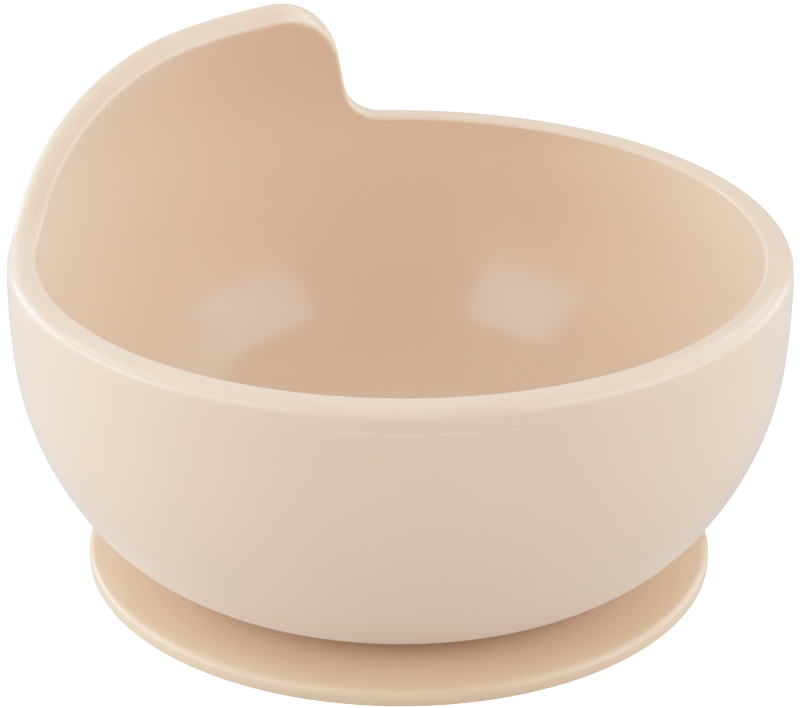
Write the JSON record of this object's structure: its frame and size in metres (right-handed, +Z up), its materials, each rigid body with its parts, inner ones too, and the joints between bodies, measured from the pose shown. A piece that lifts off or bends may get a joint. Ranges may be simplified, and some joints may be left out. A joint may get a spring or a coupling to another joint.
{
  "type": "suction bowl",
  "caption": "Round soft silicone feeding bowl with a raised scoop wall over part of its rim, on a wide suction base that it plugs into.",
  "frame": {"origin": "centre of the suction base's underside, on the table top, on the bowl's axis", "axes": "+Z up along the bowl's axis; -Y the front, where the rim is low; the scoop wall rises at the back left, from about 98 to 178 degrees counter-clockwise from +X"},
  "size_m": [0.12, 0.12, 0.0771],
  "materials": {
    "bowl_silicone": "satin",
    "base_silicone": "satin"
  },
  "bodies": {
    "suction_base": {"suction_base": "base_silicone"},
    "bowl": {"bowl": "bowl_silicone"}
  },
  "joints": [
    {"name": "bowl_lift_off", "type": "slide", "parent": "suction_base", "child": "bowl", "axis": [0, 0, 1], "range_m": [0, 0.03]}
  ]
}
